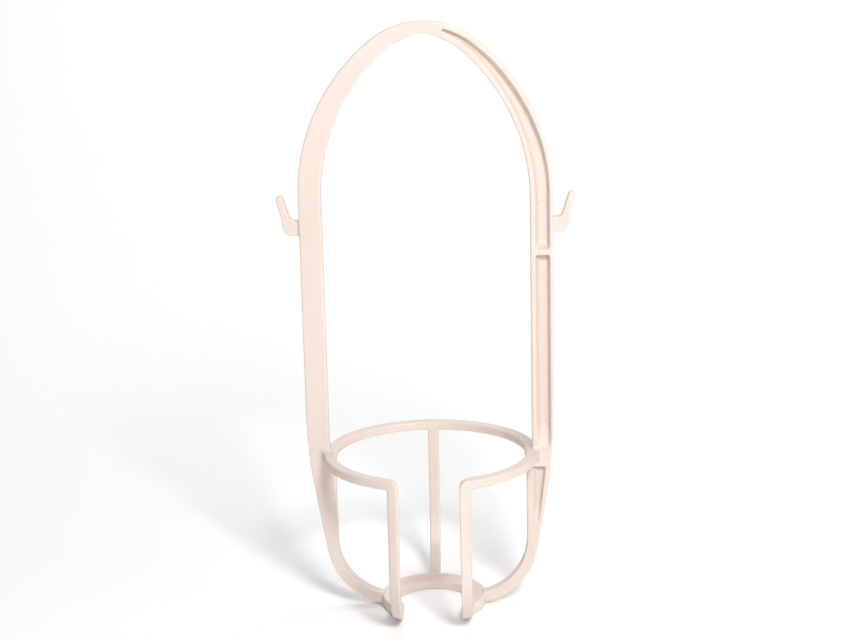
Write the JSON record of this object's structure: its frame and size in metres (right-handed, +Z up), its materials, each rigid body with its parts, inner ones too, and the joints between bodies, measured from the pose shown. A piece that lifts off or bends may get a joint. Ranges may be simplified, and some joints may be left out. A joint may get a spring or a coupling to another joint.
{
  "type": "infusion bottle hanger",
  "caption": "Moulded hanger for an inverted infusion bottle: a pointed hoop with side hooks over an open ring, shoulder rails and a slotted neck collar.",
  "frame": {"origin": "on the resting plane, under the middle of the outline; the ring and collar share a vertical axis 1 mm in front of it, at y = -1.05 mm", "axes": "+Z up from the neck collar to the hoop's crown, +X to the right arm seen from the front slot, +Y to the back; the slot faces -Y"},
  "size_m": [0.147, 0.1067, 0.2993],
  "materials": {
    "ivory_plastic": "satin ivory polypropylene"
  },
  "bodies": {
    "root": {"hoop_crown": "ivory_plastic", "left_bow": "ivory_plastic", "right_bow": "ivory_plastic", "left_arm": "ivory_plastic", "right_arm": "ivory_plastic", "left_side_hook": "ivory_plastic", "right_side_hook": "ivory_plastic", "ring_rear_arc": "ivory_plastic", "left_front_arc": "ivory_plastic", "right_front_arc": "ivory_plastic", "left_front_rail": "ivory_plastic", "right_front_rail": "ivory_plastic", "rear_rail": "ivory_plastic", "left_web": "ivory_plastic", "right_web": "ivory_plastic", "neck_collar": "ivory_plastic"}
  },
  "joints": []
}
